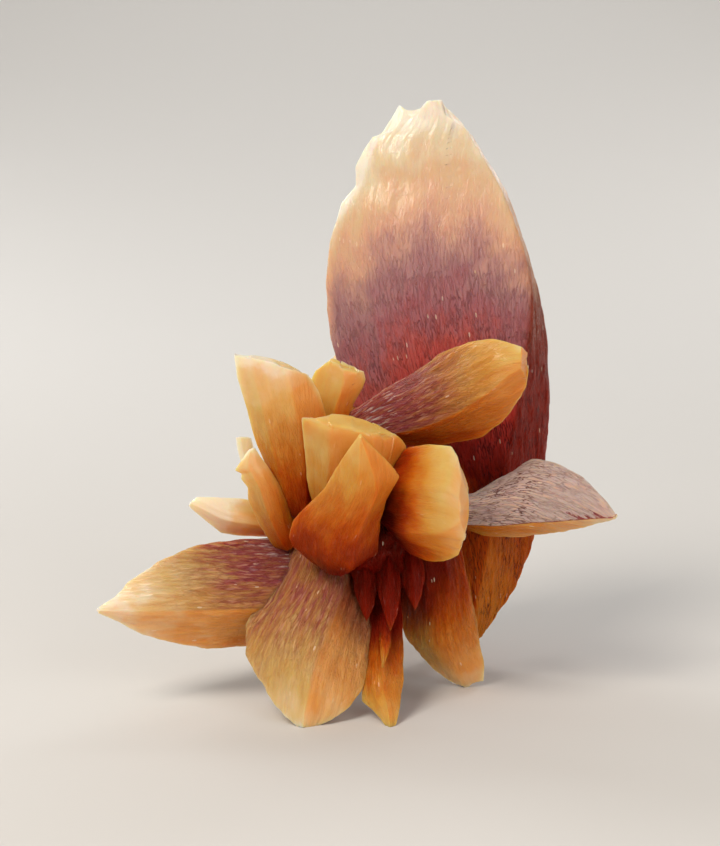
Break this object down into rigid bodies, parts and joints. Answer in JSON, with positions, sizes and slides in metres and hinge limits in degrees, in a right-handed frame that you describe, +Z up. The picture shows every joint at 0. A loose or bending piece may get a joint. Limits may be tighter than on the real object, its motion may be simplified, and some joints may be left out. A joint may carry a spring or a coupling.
{
  "type": "calcite crystal cluster",
  "caption": "Honey calcite specimen: one tall flattened blade crystal standing behind a rosette of dogtooth crystals, grown together in one piece.",
  "frame": {"origin": "middle of the box's foot, on the surface that the crystal tips stand on", "axes": "+Z up along the tall blade, +X to the right and -Y towards the viewer of the picture"},
  "size_m": [0.0756, 0.0566, 0.0882],
  "materials": {
    "honey_calcite": "translucent milky calcite, satin to glossy, finely striated, cream tips over honey, rust and oxblood zones"
  },
  "bodies": {
    "root": {"calcite_cluster": "honey_calcite"}
  },
  "joints": []
}
